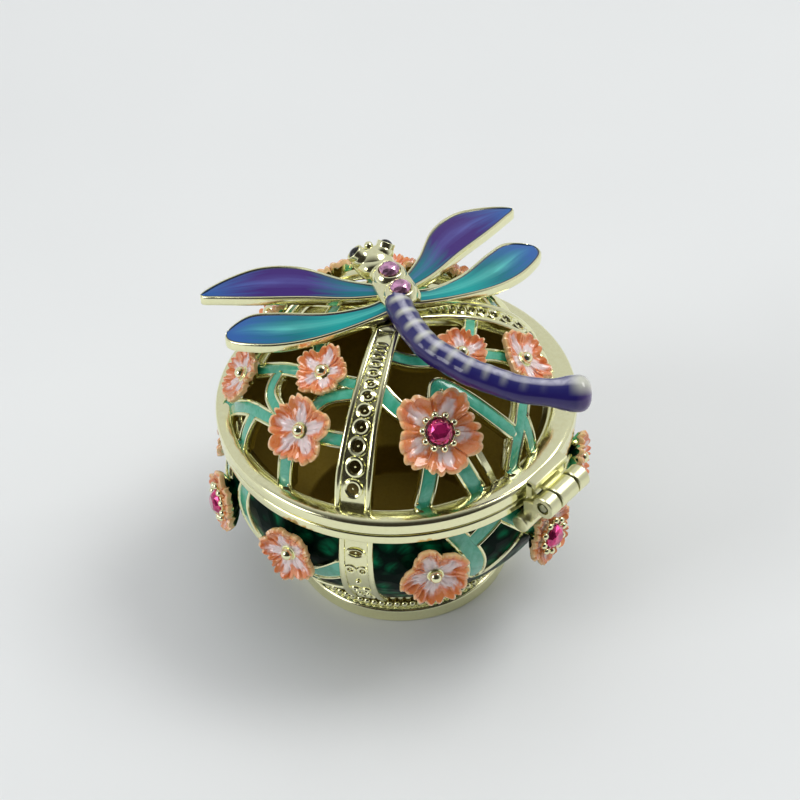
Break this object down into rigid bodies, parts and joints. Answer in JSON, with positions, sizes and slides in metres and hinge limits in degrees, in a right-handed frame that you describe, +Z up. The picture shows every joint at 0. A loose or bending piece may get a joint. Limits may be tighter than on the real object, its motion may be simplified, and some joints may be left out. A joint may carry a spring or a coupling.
{
  "type": "enamel trinket box",
  "caption": "Round footed trinket box with a hinged openwork domed lid of enamel flowers and vines, topped by a dragonfly; opens to hold rings and small keepsakes.",
  "frame": {"origin": "middle of the foot's flat underside", "axes": "+Z up, +Y towards the hinge, -Y the front where the lid opens"},
  "size_m": [0.054, 0.0552, 0.0471],
  "materials": {
    "gold_plating": "polished pale gold plating with coral, turquoise, blue and violet enamel",
    "hinge_gold": "polished gold plating",
    "magenta_stone": "faceted foil-backed rhinestone",
    "pink_stone": "faceted foil-backed rhinestone",
    "black_stone": "glossy black stone"
  },
  "bodies": {
    "base": {"base_cup": "gold_plating", "base_flower_stone_left": "magenta_stone", "base_flower_stone_right": "magenta_stone", "hinge_base_leaf": "hinge_gold", "hinge_pin": "hinge_gold"},
    "lid": {"lid_cage": "gold_plating", "hinge_lid_leaf": "hinge_gold", "dragonfly": "gold_plating", "lid_flower_stone": "magenta_stone", "thorax_stone_front": "pink_stone", "thorax_stone_rear": "pink_stone", "eye_stone_left": "black_stone", "eye_stone_right": "black_stone"}
  },
  "joints": [
    {"name": "lid_hinge", "type": "hinge", "parent": "base", "child": "lid", "pos_m": [0, 0.0274, 0.027], "axis": [-1, 0, 0], "range_deg": [0, 100]}
  ]
}
